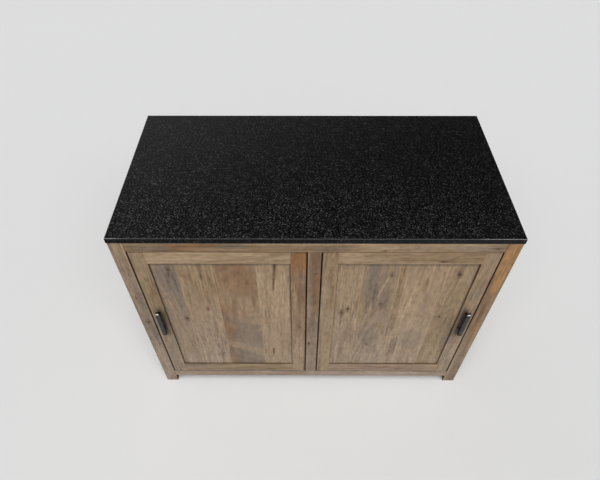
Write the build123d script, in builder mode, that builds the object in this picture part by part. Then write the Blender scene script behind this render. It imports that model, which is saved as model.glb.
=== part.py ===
from build123d import *
import os

# A free-standing kitchen base cabinet: a mango wood carcase of posts, rails and framed panels,
# two inset doors that hang back to back at the centre stile, and a granite worktop.
# Millimetres. X runs along the front, Y from the front to the back and Z up from the floor.
# The origin is on the floor, in the middle of the width and of the whole depth, handles included.

# Overall size
overall_height = 900.0
slab_width = 1200.0
slab_depth = 600.0
slab_thickness = 20.0
slab_arris = 1.2
slab_side_overhang = 1.0
slab_front_overhang = 2.0
pad_thickness = 1.0
pad_diameter = 24.0

# Posts and their glides
post_size = 45.0
post_round = 1.5
glide_height = 3.0
glide_diameter = 26.0
glide_chamfer = 0.8
glide_stem_diameter = 4.0
glide_stem_length = 14.0

# Rails of the carcase
floor_clearance = 45.0
bottom_rail_height = 41.0
top_rail_height = 41.0
front_rail_thickness = 30.0
back_rail_thickness = 25.0
side_rail_thickness = 25.0
centre_stile_width = 42.0
stretcher_width = 60.0
stretcher_thickness = 22.0
stretcher_spacing = 380.0
rail_round = 1.0

# Joints between timbers
rail_tenon_length = 20.0
rail_tenon_thickness = 10.0
stretcher_tenon_length = 14.0
tenon_end_gap = 1.0
tenon_shoulder = 12.0
groove_depth = 8.0
panel_expansion_gap = 1.0

# Framed panels of the sides and the back
side_panel_thickness = 9.0
side_panel_recess = 11.0
back_panel_thickness = 9.0
back_panel_recess = 8.0

# Inside boards
bottom_board_thickness = 18.0
board_fit_gap = 0.5
cleat_size = 18.0
cleat_end_gap = 2.0
shelf_thickness = 20.0
shelf_top_height = 470.0
shelf_setback = 36.0
shelf_fit_gap = 1.0
peg_stem_diameter = 6.0
peg_stem_length = 12.0
peg_tab_width = 14.0
peg_tab_thickness = 3.0
peg_tab_reach = 12.0

# Doors
door_thickness = 25.0
door_side_gap = 3.0
door_end_gap = 2.5
door_stile_width = 48.0
door_top_rail_height = 52.0
door_bottom_rail_height = 51.0
door_panel_thickness = 9.0
door_panel_recess = 6.0
door_round = 1.0
door_tenon_thickness = 8.0
door_tenon_length = 25.0

# Pivot hinges, let into the ends of the doors and into the front rails
pivot_edge_distance = 20.0
pivot_face_distance = 9.0
leaf_length = 32.0
leaf_width = 12.0
leaf_thickness = 3.0
pivot_pin_diameter = 6.0
pivot_clearance = 0.05
pin_end_gap = 0.3
washer_diameter = 11.0
washer_clearance = 0.1
leaf_screw_distances = (11.0, 20.0)
leaf_screw_diameter = 3.0
leaf_screw_head = 6.0
leaf_screw_length = 20.0

# Handles
handle_length = 136.0
handle_width = 15.5
handle_bar_depth = 11.0
handle_reach = 23.0
handle_hole_spacing = 96.0
handle_post_diameter = 9.0
handle_centre_height = 468.0
handle_edge_distance = 27.0
handle_end_round = 5.0
handle_side_round = 3.0
handle_screw_diameter = 4.0
handle_screw_thread = 10.0
handle_screw_head = 8.0
handle_screw_head_height = 2.4
handle_screw_head_round = 1.2
handle_screw_clearance = 0.25

# Magnetic catches
catch_height = 48.0
catch_width = 18.0
catch_depth = 15.0
catch_chamfer = 1.0
catch_ear_length = 9.0
catch_ear_thickness = 4.0
catch_below_rail = 40.0
catch_gap = 0.3
strike_diameter = 12.0
strike_thickness = 1.5
strike_edge_distance = 1.0
strike_stem_diameter = 3.0
strike_stem_length = 9.0
catch_screw_diameter = 3.0
catch_screw_head = 5.6
catch_screw_length = 15.0

# A screw head's cross recess
recess_share = 0.55
recess_slot = 0.8
recess_depth = 0.9

# Places that follow from the sizes above
total_depth = slab_depth - slab_front_overhang + handle_reach
face_y = -total_depth / 2 + handle_reach
slab_front_y = face_y - slab_front_overhang
back_y = slab_front_y + slab_depth
half_width = slab_width / 2 - slab_side_overhang
carcase_top = overall_height - slab_thickness - pad_thickness
bottom_rail_top = floor_clearance + bottom_rail_height
top_rail_bottom = carcase_top - top_rail_height
post_inner_x = half_width - post_size
post_centre_x = half_width - post_size / 2
post_rows = {"front": face_y + post_size / 2, "back": back_y - post_size / 2}
post_back_y = face_y + post_size
back_post_y = back_y - post_size
front_rail_back_y = face_y + front_rail_thickness
back_rail_front_y = back_y - back_rail_thickness
side_rail_inner_x = half_width - side_rail_thickness
door_back_y = face_y + door_thickness
door_bottom = bottom_rail_top + door_end_gap
door_top = top_rail_bottom - door_end_gap
door_inner_x = centre_stile_width / 2 + door_side_gap
door_outer_x = post_inner_x - door_side_gap
pivot_x = door_inner_x + pivot_edge_distance
pivot_y = face_y + pivot_face_distance
handle_x = door_outer_x - handle_edge_distance
back_panel_front_y = back_y - back_panel_recess - back_panel_thickness
shelf_front_y = face_y + shelf_setback
shelf_bottom = shelf_top_height - shelf_thickness
peg_y = {"front": post_back_y - peg_tab_width / 2, "back": back_post_y + peg_tab_width / 2}

SIDES = {"left": -1, "right": 1}
AXES = {"X": Axis.X, "Y": Axis.Y, "Z": Axis.Z}

# A round or a box that starts at its plane and runs along the plane's Z, or against it
FORWARD = (Align.CENTER, Align.CENTER, Align.MIN)
BACKWARD = (Align.CENTER, Align.CENTER, Align.MAX)

os.makedirs("parts", exist_ok=True)


def finish(piece, label):
    """Label a finished piece and write it."""
    piece.part.label = label
    export_step(piece.part, "parts/" + label + ".step")


def block(spans, mode=Mode.ADD):
    """A squared block between three pairs of limits, along X, Y and Z."""
    centre = [(start + end) / 2 for start, end in spans]
    size = [abs(end - start) for start, end in spans]
    with Locations(tuple(centre)):
        Box(*size, mode=mode)


def widened(span, amount):
    """A pair of limits, moved apart by the amount at each end."""
    low, high = sorted(span)
    return (low - amount, high + amount)


def around(centre, size):
    """A pair of limits, half the size to each side of the centre."""
    return (centre - size / 2, centre + size / 2)


def mirrored(span, side):
    """A pair of X limits on the left or the right side."""
    return tuple(side * value for value in span)


class Timber:
    """A squared timber with a tenon on each end, along one axis."""

    def __init__(self, spans, along, insets, tenon_length):
        self.spans = spans
        self.along = along
        self.insets = insets
        self.tenon_length = tenon_length

    def core(self, reach):
        """The limits of the tenon section, carried past both ends by the reach."""
        grown = []
        for axis, span, inset in zip(AXES, self.spans, self.insets):
            grown.append(widened(span, reach if axis == self.along else -inset))
        return grown

    def make(self, edge_round):
        """The timber with eased edges and both tenons."""
        block(self.spans)
        fillet(edges().filter_by(AXES[self.along]), edge_round)
        block(self.core(self.tenon_length))

    def cut_mortises(self):
        """The two mortises that take the tenons, a little deeper than they are long."""
        block(self.core(self.tenon_length + tenon_end_gap), Mode.SUBTRACT)


class FramedPanel:
    """A flat panel that floats in the grooves of its frame."""

    def __init__(self, opening, across):
        self.opening = opening
        self.across = across

    def grown(self, amount):
        spans = []
        for axis, span in zip(AXES, self.opening):
            spans.append(span if axis == self.across else widened(span, amount))
        return spans

    def make(self):
        block(self.grown(groove_depth))

    def cut_groove(self):
        """The groove leaves room for the panel to swell across the grain."""
        block(self.grown(groove_depth + panel_expansion_gap), Mode.SUBTRACT)


def rail_along_x(y_span, z_span, thickness):
    """A rail of the front or the back, from post to post."""
    insets = (0, (thickness - rail_tenon_thickness) / 2, tenon_shoulder)
    return Timber([(-post_inner_x, post_inner_x), y_span, z_span], "X", insets, rail_tenon_length)


def rail_along_y(side, z_span):
    """A rail of one side, from the front post to the back post."""
    insets = ((side_rail_thickness - rail_tenon_thickness) / 2, 0, tenon_shoulder)
    x_span = mirrored((side_rail_inner_x, half_width), side)
    return Timber([x_span, (post_back_y, back_post_y), z_span], "Y", insets, rail_tenon_length)


def stretcher(side):
    """A flat bar under the worktop, from the front rail to the back rail."""
    x_span = around(side * stretcher_spacing / 2, stretcher_width)
    insets = (tenon_shoulder, 0, (stretcher_thickness - rail_tenon_thickness) / 2)
    z_span = (carcase_top - stretcher_thickness, carcase_top)
    y_span = (front_rail_back_y, back_rail_front_y)
    return Timber([x_span, y_span, z_span], "Y", insets, stretcher_tenon_length)


top_z = (top_rail_bottom, carcase_top)
bottom_z = (floor_clearance, bottom_rail_top)
front_rail_y = (face_y, front_rail_back_y)
back_rail_y = (back_rail_front_y, back_y)

carcase_timbers = {
    "front_top_rail": rail_along_x(front_rail_y, top_z, front_rail_thickness),
    "front_bottom_rail": rail_along_x(front_rail_y, bottom_z, front_rail_thickness),
    "back_top_rail": rail_along_x(back_rail_y, top_z, back_rail_thickness),
    "back_bottom_rail": rail_along_x(back_rail_y, bottom_z, back_rail_thickness),
    "left_side_top_rail": rail_along_y(SIDES["left"], top_z),
    "left_side_bottom_rail": rail_along_y(SIDES["left"], bottom_z),
    "right_side_top_rail": rail_along_y(SIDES["right"], top_z),
    "right_side_bottom_rail": rail_along_y(SIDES["right"], bottom_z),
    "left_top_stretcher": stretcher(SIDES["left"]),
    "right_top_stretcher": stretcher(SIDES["right"]),
    "centre_stile": Timber(
        [around(0, centre_stile_width), front_rail_y, (bottom_rail_top, top_rail_bottom)],
        "Z",
        (tenon_shoulder, (front_rail_thickness - rail_tenon_thickness) / 2, 0),
        rail_tenon_length,
    ),
}

panel_z = (bottom_rail_top, top_rail_bottom)
side_panel_x = (half_width - side_panel_recess - side_panel_thickness, half_width - side_panel_recess)

carcase_panels = {
    "left_side_panel": FramedPanel(
        [mirrored(side_panel_x, SIDES["left"]), (post_back_y, back_post_y), panel_z],
        "X",
    ),
    "right_side_panel": FramedPanel([side_panel_x, (post_back_y, back_post_y), panel_z], "X"),
    "back_panel": FramedPanel(
        [
            (-post_inner_x, post_inner_x),
            (back_panel_front_y, back_panel_front_y + back_panel_thickness),
            panel_z,
        ],
        "Y",
    ),
}


def countersunk_screws(planes, diameter, head, length, mode=Mode.ADD):
    """Countersunk screws, or the holes that they fill. Each plane lies on a head and looks out of it."""
    with Locations(*planes):
        Cylinder(diameter / 2, length, align=BACKWARD, mode=mode)
        Cone(diameter / 2, head / 2, (head - diameter) / 2, align=BACKWARD, mode=mode)


def cross_recesses(planes, head):
    """The driver's cross recess in each screw head."""
    with Locations(*planes):
        Box(head * recess_share, recess_slot, recess_depth, align=BACKWARD, mode=Mode.SUBTRACT)
        Box(recess_slot, head * recess_share, recess_depth, align=BACKWARD, mode=Mode.SUBTRACT)


# Pivot hinges. Each has a leaf with a pin in the front rail and a leaf with a hole in the door.

# For each end of a door: the rail's face, the door's edge, and the way from the rail to the door
RAIL_FACE = {"top": top_rail_bottom, "bottom": bottom_rail_top}
DOOR_EDGE = {"top": door_top, "bottom": door_bottom}
TO_DOOR = {"top": -1, "bottom": 1}


def leaf_blank(side, surface, inward, mode=Mode.ADD):
    """A round-ended leaf let in flush with a surface, or the recess that it fills."""
    centre_x = side * (pivot_x + leaf_length / 2 - leaf_width / 2)
    with BuildSketch(Plane.XY.offset(surface)) as outline:
        with Locations((centre_x, pivot_y)):
            SlotOverall(leaf_length, leaf_width)
    extrude(outline.sketch, amount=inward * leaf_thickness, mode=mode)


def pivot_round(side, surface, radius, amount, mode=Mode.ADD):
    """A round about a door's axis that starts at a surface."""
    with BuildSketch(Plane.XY.offset(surface)) as section:
        with Locations((side * pivot_x, pivot_y)):
            Circle(radius)
    extrude(section.sketch, amount=amount, mode=mode)


def leaf_screw_planes(side, surface, inward):
    """The heads of one leaf's screws, flush with the leaf."""
    planes = []
    for distance in leaf_screw_distances:
        origin = (side * (pivot_x + distance), pivot_y, surface)
        planes.append(Plane(origin=origin, z_dir=(0, 0, -inward)))
    return planes


def frame_leaf_planes(side, end):
    return leaf_screw_planes(side, RAIL_FACE[end], -TO_DOOR[end])


def door_leaf_planes(side, end):
    return leaf_screw_planes(side, DOOR_EDGE[end], TO_DOOR[end])


def leaf_screws(planes, mode=Mode.ADD):
    countersunk_screws(planes, leaf_screw_diameter, leaf_screw_head, leaf_screw_length, mode)


def pin_leaf(side, end):
    """The frame's leaf, with the pin that stands out of it into the door's leaf."""
    pin_length = door_end_gap + leaf_thickness - pin_end_gap
    with BuildPart() as leaf:
        leaf_blank(side, RAIL_FACE[end], -TO_DOOR[end])
        pivot_round(side, RAIL_FACE[end], pivot_pin_diameter / 2, TO_DOOR[end] * pin_length)
        leaf_screws(frame_leaf_planes(side, end), Mode.SUBTRACT)
    return leaf


def door_leaf(side, end):
    """The door's leaf, with the hole that turns on the pin."""
    hole = pivot_pin_diameter / 2 + pivot_clearance
    with BuildPart() as leaf:
        leaf_blank(side, DOOR_EDGE[end], TO_DOOR[end])
        pivot_round(side, DOOR_EDGE[end], hole, TO_DOOR[end] * leaf_thickness, Mode.SUBTRACT)
        leaf_screws(door_leaf_planes(side, end), Mode.SUBTRACT)
    return leaf


def pivot_washers():
    """One washer on each bottom pin, which carries its door."""
    thickness = door_end_gap - washer_clearance
    with BuildPart() as washers:
        for side in SIDES.values():
            pivot_round(side, bottom_rail_top, washer_diameter / 2, thickness)
            pivot_round(side, bottom_rail_top, pivot_pin_diameter / 2, thickness, Mode.SUBTRACT)
    return washers


def hinge_screws(planes):
    with BuildPart() as screws:
        leaf_screws(planes)
        cross_recesses(planes, leaf_screw_head)
    return screws


def make_pivots():
    frame_planes = []
    for name, side in SIDES.items():
        door_planes = []
        for end in TO_DOOR:
            finish(pin_leaf(side, end), name + "_" + end + "_pivot_pin_leaf")
            finish(door_leaf(side, end), name + "_" + end + "_pivot_door_leaf")
            frame_planes += frame_leaf_planes(side, end)
            door_planes += door_leaf_planes(side, end)
        finish(hinge_screws(door_planes), name + "_door_hinge_screws")
    finish(hinge_screws(frame_planes), "frame_hinge_screws")
    finish(pivot_washers(), "pivot_washers")


def cut_frame_pivots(end):
    """The recesses and screw holes of both doors' leaves in a front rail."""
    for side in SIDES.values():
        leaf_blank(side, RAIL_FACE[end], -TO_DOOR[end], Mode.SUBTRACT)
        leaf_screws(frame_leaf_planes(side, end), Mode.SUBTRACT)


# Magnetic catches, on the inner faces of the front posts behind the doors' free stiles.

catch_front_y = door_back_y + strike_thickness + catch_gap
catch_centre_y = catch_front_y + catch_depth / 2
catch_centre_z = top_rail_bottom - catch_below_rail - catch_height / 2
strike_x = door_outer_x - strike_edge_distance - strike_diameter / 2


def catch_screw_planes(side):
    """The two screws through the ears of a catch."""
    planes = []
    for up in (-1, 1):
        z = catch_centre_z + up * (catch_height - catch_ear_length) / 2
        x = side * (post_inner_x - catch_ear_thickness)
        planes.append(Plane(origin=(x, catch_centre_y, z), z_dir=(-side, 0, 0)))
    return planes


def catch_screw_shapes(side, mode=Mode.ADD):
    planes = catch_screw_planes(side)
    countersunk_screws(planes, catch_screw_diameter, catch_screw_head, catch_screw_length, mode)


def catch_housing(side):
    y_span = (catch_front_y, catch_front_y + catch_depth)
    with BuildPart() as housing:
        body_z = around(catch_centre_z, catch_height - 2 * catch_ear_length)
        block([mirrored((post_inner_x - catch_width, post_inner_x), side), y_span, body_z])
        room_side = faces().sort_by(Axis((0, 0, 0), (side, 0, 0)))[0]
        chamfer(room_side.edges(), catch_chamfer)
        ears_z = around(catch_centre_z, catch_height)
        block([mirrored((post_inner_x - catch_ear_thickness, post_inner_x), side), y_span, ears_z])
        catch_screw_shapes(side, Mode.SUBTRACT)
    return housing


def strike(side, mode=Mode.ADD):
    """A round steel strike pressed into the door's back, or the hole of its stem."""
    with Locations(Plane(origin=(side * strike_x, door_back_y, catch_centre_z), z_dir=(0, 1, 0))):
        if mode == Mode.ADD:
            Cylinder(strike_diameter / 2, strike_thickness, align=FORWARD)
        Cylinder(strike_stem_diameter / 2, strike_stem_length, align=BACKWARD, mode=mode)


def make_catches():
    with BuildPart() as screws:
        for side in SIDES.values():
            catch_screw_shapes(side)
            cross_recesses(catch_screw_planes(side), catch_screw_head)
    finish(screws, "catch_screws")
    for name, side in SIDES.items():
        finish(catch_housing(side), name + "_magnetic_catch")
        with BuildPart() as plate:
            strike(side)
        finish(plate, name + "_catch_strike")


# Shelf pegs: a round stem in the wood and a flat tab under the shelf.

peg_z = shelf_bottom - peg_tab_thickness / 2

# Each peg's plane lies on the wood, looks out of it and has its X along the tab's width.
centre_peg_plane = Plane(origin=(0, front_rail_back_y, peg_z), x_dir=(1, 0, 0), z_dir=(0, 1, 0))
corner_peg_planes = [
    Plane(origin=(side * post_inner_x, y, peg_z), x_dir=(0, 1, 0), z_dir=(-side, 0, 0))
    for side in SIDES.values()
    for y in peg_y.values()
]


def peg_stems(mode=Mode.ADD):
    with Locations(centre_peg_plane, *corner_peg_planes):
        Cylinder(peg_stem_diameter / 2, peg_stem_length, align=BACKWARD, mode=mode)


def peg_tabs(planes, reach):
    with Locations(*planes):
        Box(peg_tab_width, peg_tab_thickness, reach, align=FORWARD)


def make_pegs():
    with BuildPart() as pegs:
        peg_stems()
        peg_tabs(corner_peg_planes, peg_tab_reach)
        # The centre peg also crosses the space between its stile and the shelf.
        peg_tabs([centre_peg_plane], shelf_front_y - front_rail_back_y + peg_tab_reach)
    finish(pegs, "shelf_pegs")


# Carcase

def cut_carcase_joints(own=None):
    """Cut every mortise and groove of the carcase, other than a timber's own, out of a piece."""
    for name, timber in carcase_timbers.items():
        if name != own:
            timber.cut_mortises()
    for panel in carcase_panels.values():
        panel.cut_groove()


def glide_stems(places, mode=Mode.ADD):
    with Locations(*[(x, y, glide_height) for x, y in places]):
        Cylinder(glide_stem_diameter / 2, glide_stem_length, align=FORWARD, mode=mode)


def make_posts():
    for name, side in SIDES.items():
        for row, centre_y in post_rows.items():
            with BuildPart() as post:
                with BuildSketch(Plane.XY.offset(glide_height)):
                    with Locations((side * post_centre_x, centre_y)):
                        RectangleRounded(post_size, post_size, post_round)
                extrude(amount=carcase_top - glide_height)
                cut_carcase_joints()
                peg_stems(Mode.SUBTRACT)
                catch_screw_shapes(side, Mode.SUBTRACT)
                glide_stems([(side * post_centre_x, centre_y)], Mode.SUBTRACT)
            finish(post, row + "_" + name + "_post")


def make_glides():
    places = [(side * post_centre_x, y) for side in SIDES.values() for y in post_rows.values()]
    with BuildPart() as glides:
        with BuildSketch():
            with Locations(*places):
                Circle(glide_diameter / 2)
        extrude(amount=glide_height)
        chamfer(edges().group_by(Axis.Z)[0], glide_chamfer)
        glide_stems(places)
    finish(glides, "foot_glides")


def make_carcase_timbers():
    for name, timber in carcase_timbers.items():
        with BuildPart() as piece:
            timber.make(rail_round)
            cut_carcase_joints(own=name)
            if name == "front_top_rail":
                cut_frame_pivots("top")
            if name == "front_bottom_rail":
                cut_frame_pivots("bottom")
            if name == "centre_stile":
                peg_stems(Mode.SUBTRACT)
        finish(piece, name)


def make_carcase_panels():
    for name, panel in carcase_panels.items():
        with BuildPart() as piece:
            panel.make()
        finish(piece, name)


def make_bottom_board():
    """The bottom board fills the carcase inside its rails and is notched round the posts."""
    board_x = side_rail_inner_x - board_fit_gap
    board_y = (front_rail_back_y + board_fit_gap, back_rail_front_y - board_fit_gap)
    board_z = (bottom_rail_top - bottom_board_thickness, bottom_rail_top)
    with BuildPart() as board:
        block([(-board_x, board_x), board_y, board_z])
        for side in SIDES.values():
            notch_x = mirrored((post_inner_x - board_fit_gap, half_width), side)
            for notch_y in ((face_y, post_back_y + board_fit_gap), (back_post_y - board_fit_gap, back_y)):
                block([notch_x, notch_y, board_z], Mode.SUBTRACT)
    finish(board, "bottom_board")


def make_cleats():
    """Square cleats along the four bottom rails carry the bottom board."""
    cleat_top = bottom_rail_top - bottom_board_thickness
    z_span = (cleat_top - cleat_size, cleat_top)
    long_x = (-post_inner_x + cleat_end_gap, post_inner_x - cleat_end_gap)
    side_y = (post_back_y + cleat_end_gap, back_post_y - cleat_end_gap)
    side_x = (side_rail_inner_x - cleat_size, side_rail_inner_x)
    cleats = {
        "front_cleat": [long_x, (front_rail_back_y, front_rail_back_y + cleat_size), z_span],
        "back_cleat": [long_x, (back_rail_front_y - cleat_size, back_rail_front_y), z_span],
        "left_cleat": [mirrored(side_x, -1), side_y, z_span],
        "right_cleat": [side_x, side_y, z_span],
    }
    for name, spans in cleats.items():
        with BuildPart() as cleat:
            block(spans)
        finish(cleat, name)


def make_shelf():
    shelf_x = post_inner_x - shelf_fit_gap
    with BuildPart() as shelf:
        block(
            [
                (-shelf_x, shelf_x),
                (shelf_front_y, back_panel_front_y - shelf_fit_gap),
                (shelf_bottom, shelf_top_height),
            ]
        )
        fillet(edges().filter_by(Axis.X).group_by(Axis.Y)[0], rail_round)
    finish(shelf, "shelf")


# Worktop

def make_worktop():
    slab_bottom = overall_height - slab_thickness
    with BuildPart() as slab:
        block([(-slab_width / 2, slab_width / 2), (slab_front_y, back_y), (slab_bottom, overall_height)])
        chamfer(edges().group_by(Axis.Z)[-1], slab_arris)
    finish(slab, "granite_worktop")
    places = [(side * post_centre_x, y) for side in SIDES.values() for y in post_rows.values()]
    middle_y = (front_rail_back_y + back_rail_front_y) / 2
    places += [(side * stretcher_spacing / 2, middle_y) for side in SIDES.values()]
    with BuildPart() as pads:
        with BuildSketch(Plane.XY.offset(carcase_top)):
            with Locations(*places):
                Circle(pad_diameter / 2)
        extrude(amount=pad_thickness)
    finish(pads, "worktop_pads")


# Doors

class Door:
    """One inset door: two stiles, two rails between them and a floating panel."""

    def __init__(self, name, side):
        self.name = name
        self.side = side
        self.opening_x = mirrored((door_inner_x + door_stile_width, door_outer_x - door_stile_width), side)
        self.hinge_x = mirrored((door_inner_x, door_inner_x + door_stile_width), side)
        self.handle_x = mirrored((door_outer_x - door_stile_width, door_outer_x), side)
        self.opening_z = (door_bottom + door_bottom_rail_height, door_top - door_top_rail_height)
        self.y_span = (face_y, door_back_y)
        panel_y = (face_y + door_panel_recess, face_y + door_panel_recess + door_panel_thickness)
        self.panel = FramedPanel([self.opening_x, panel_y, self.opening_z], "Y")
        self.rails = {
            "top_rail": self.rail((self.opening_z[1], door_top)),
            "bottom_rail": self.rail((door_bottom, self.opening_z[0])),
        }

    def rail(self, z_span):
        insets = (0, (door_thickness - door_tenon_thickness) / 2, tenon_shoulder)
        return Timber([self.opening_x, self.y_span, z_span], "X", insets, door_tenon_length)

    def make_rails(self):
        for part_name, timber in self.rails.items():
            with BuildPart() as rail:
                timber.make(door_round)
                self.panel.cut_groove()
                self.cut_hinge_screws()
            finish(rail, self.name + "_door_" + part_name)

    def stile(self, x_span):
        """A stile with its edges eased and the joints of both rails and the panel cut."""
        block([x_span, self.y_span, (door_bottom, door_top)])
        fillet(edges().filter_by(Axis.Z), door_round)
        for timber in self.rails.values():
            timber.cut_mortises()
        self.panel.cut_groove()

    def cut_hinge_screws(self):
        """The hinge screws go through the stile's ends into the rails' tenons."""
        for end in TO_DOOR:
            leaf_screws(door_leaf_planes(self.side, end), Mode.SUBTRACT)

    def make_hinge_stile(self):
        with BuildPart() as stile:
            self.stile(self.hinge_x)
            for end in TO_DOOR:
                leaf_blank(self.side, DOOR_EDGE[end], TO_DOOR[end], Mode.SUBTRACT)
            self.cut_hinge_screws()
        finish(stile, self.name + "_door_hinge_stile")

    def handle_planes(self):
        """The handle's two fixing points on the door's back, looking into the room behind it."""
        planes = []
        for up in (-1, 1):
            z = handle_centre_height + up * handle_hole_spacing / 2
            planes.append(Plane(origin=(self.side * handle_x, door_back_y, z), z_dir=(0, 1, 0)))
        return planes

    def handle_shanks(self, radius, depth, mode=Mode.ADD):
        with Locations(*self.handle_planes()):
            Cylinder(radius, depth, align=BACKWARD, mode=mode)

    def make_handle_stile(self):
        with BuildPart() as stile:
            self.stile(self.handle_x)
            bolt_hole = handle_screw_diameter / 2 + handle_screw_clearance
            self.handle_shanks(bolt_hole, door_thickness, Mode.SUBTRACT)
            strike(self.side, Mode.SUBTRACT)
        finish(stile, self.name + "_door_handle_stile")

    def make_panel(self):
        with BuildPart() as panel:
            self.panel.make()
        finish(panel, self.name + "_door_panel")

    def make_handle(self):
        """A straight bar with rounded ends and edges on two round posts, tapped from behind."""
        bar_y = (face_y - handle_reach, face_y - handle_reach + handle_bar_depth)
        bar_x = around(self.side * handle_x, handle_width)
        bar_z = around(handle_centre_height, handle_length)
        with BuildPart() as handle:
            block([bar_x, bar_y, bar_z])
            fillet(edges().filter_by(Axis.X).group_by(Axis.Y)[0], handle_end_round)
            outline = edges().group_by(Axis.X)[0] + edges().group_by(Axis.X)[-1]
            back_edges_left_out = outline.sort_by(Axis.Y)[:-2]
            fillet(back_edges_left_out, handle_side_round)
            with Locations(*[plane.offset(-door_thickness) for plane in self.handle_planes()]):
                Cylinder(handle_post_diameter / 2, handle_reach - handle_bar_depth / 2, align=BACKWARD)
            tapped = door_thickness + handle_screw_thread
            self.handle_shanks(handle_screw_diameter / 2, tapped, Mode.SUBTRACT)
        finish(handle, self.name + "_handle")
        with BuildPart() as screws:
            self.handle_shanks(handle_screw_diameter / 2, tapped)
            with Locations(*self.handle_planes()):
                Cylinder(handle_screw_head / 2, handle_screw_head_height, align=FORWARD)
            fillet(edges().group_by(Axis.Y)[-1], handle_screw_head_round)
            head_planes = [plane.offset(handle_screw_head_height) for plane in self.handle_planes()]
            cross_recesses(head_planes, handle_screw_head)
        finish(screws, self.name + "_handle_screws")

    def make(self):
        self.make_rails()
        self.make_hinge_stile()
        self.make_handle_stile()
        self.make_panel()
        self.make_handle()


make_posts()
make_glides()
make_carcase_timbers()
make_carcase_panels()
make_bottom_board()
make_cleats()
make_shelf()
make_pegs()
make_worktop()
make_pivots()
make_catches()
for door_name, door_side in SIDES.items():
    Door(door_name, door_side).make()
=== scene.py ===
import math
from dataclasses import dataclass

import bmesh
import bpy
from bpy.props import FloatProperty, FloatVectorProperty, PointerProperty
from mathutils import Matrix, Vector, noise


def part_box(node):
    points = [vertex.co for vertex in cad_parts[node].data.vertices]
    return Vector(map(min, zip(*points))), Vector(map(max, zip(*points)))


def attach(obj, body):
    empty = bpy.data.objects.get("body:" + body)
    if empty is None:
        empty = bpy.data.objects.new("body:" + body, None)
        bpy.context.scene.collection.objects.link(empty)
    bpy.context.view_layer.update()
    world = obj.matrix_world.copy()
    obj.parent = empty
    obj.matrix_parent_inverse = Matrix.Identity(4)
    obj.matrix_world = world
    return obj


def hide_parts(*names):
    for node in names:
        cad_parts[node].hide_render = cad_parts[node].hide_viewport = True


bl_info = {
    "name": "Kitchen Base Cabinet",
    "version": (1, 0, 0),
    "blender": (4, 5, 0),
    "location": "3D View > Sidebar > Cabinet",
    "description": "Gives the packed base cabinet its wood, stone and metal, and sets the stage",
    "category": "Object",
}

# The frame comes first, so that the operators' pieces can take their places from it.
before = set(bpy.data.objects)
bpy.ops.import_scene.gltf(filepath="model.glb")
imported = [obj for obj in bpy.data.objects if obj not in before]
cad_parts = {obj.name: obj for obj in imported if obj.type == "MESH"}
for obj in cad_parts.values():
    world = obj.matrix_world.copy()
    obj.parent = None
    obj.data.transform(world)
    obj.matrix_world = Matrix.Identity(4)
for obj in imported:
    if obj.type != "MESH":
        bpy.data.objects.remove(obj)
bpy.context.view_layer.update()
MM = 0.001
AXES = "XYZ"


# Colours and numbers

def tone(code):
    """A colour in linear light from its six hexadecimal digits."""
    channels = [int(code[i:i + 2], 16) / 255 for i in (0, 2, 4)]
    return tuple(c / 12.92 if c <= 0.04045 else ((c + 0.055) / 1.055) ** 2.4 for c in channels)


def darkened(colour, share):
    """A colour with that share of its light."""
    return tuple(share * c for c in colour)


def swatch(name, description, code):
    """A colour that the user can change."""
    return FloatVectorProperty(
        name=name, description=description, subtype="COLOR", size=3, min=0.0, max=1.0, default=tone(code)
    )


class WoodLooks(bpy.types.PropertyGroup):
    """The aged wood's colours and the scale of its grain."""

    tan: swatch("Tan", "The wood's middle colour", "978065")
    pale: swatch("Pale", "Pale sapwood", "a58d70")
    olive: swatch("Olive", "Yellowish green heartwood", "8e785a")
    brown: swatch("Brown", "Reddish brown heartwood", "84664a")
    pink: swatch("Pink", "Dull pink wood", "8f7a69")
    grey: swatch("Grey", "Weathered grey wood", "7a6c5f")
    orange: swatch("Orange", "Orange streaks", "906337")
    amber: swatch("Amber", "Lighter orange streaks", "a97f50")
    # This colour is also painted low on the pieces as the floor's light.
    ash: swatch("Ash", "Bleached wood near the floor", "9c8b7b")
    dark: swatch("Dark", "Knots, cracks and dark stains", "33261d")
    ring_spacing: FloatProperty(
        name="Ring spacing", description="Width of a growth ring", unit="LENGTH", default=9.0 * MM
    )
    relief: FloatProperty(
        name="Grain relief", description="Depth of the brushed grain", unit="LENGTH", default=0.3 * MM
    )
    contrast: FloatProperty(
        name="Grain contrast", description="How far the streaks differ from the other wood", default=1.0
    )


class StoneLooks(bpy.types.PropertyGroup):
    """The worktop's stone."""

    ground: swatch("Ground", "The stone's black ground", "070708")
    flake: swatch("Flakes", "The grey flakes in it", "686869")
    flake_size: FloatProperty(
        name="Flake size", description="Typical width of a flake", unit="LENGTH", default=2.3 * MM
    )


class MetalLooks(bpy.types.PropertyGroup):
    """The pulls, the hinges and the other fittings."""

    iron: swatch("Blackened iron", "The pulls", "101112")
    # This colour also paints the glint at the pulls' ends.
    rubbed_and_glint: swatch("Rubbed iron", "Where hands have rubbed the pulls", "aaaaa8")
    zinc: swatch("Zinc", "Screws, hinge leaves and pegs", "b4b4b0")
    moulding: swatch("Catch", "The catches' moulding", "4a3a2e")
    nylon: swatch("Washer", "The pivot washers", "dcdad2")
    glide: swatch("Glide", "The foot glides", "2a2a2a")
    silicone: swatch("Pads", "The pads under the worktop", "b8b8b4")


class StageLooks(bpy.types.PropertyGroup):
    """The floor and the lamps."""

    floor: swatch("Floor", "The studio floor", "e2e2e2")
    backdrop: swatch("Backdrop", "The studio's walls", "dddddd")
    ceiling: swatch("Ceiling", "The dim upper part of the studio", "2c2d30")
    key: FloatProperty(
        name="Key lamp", description="Light from above the front, 1 at a right angle", default=0.57
    )
    side: FloatProperty(name="Side lamps", description="Light from each front side", default=0.14)


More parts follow.
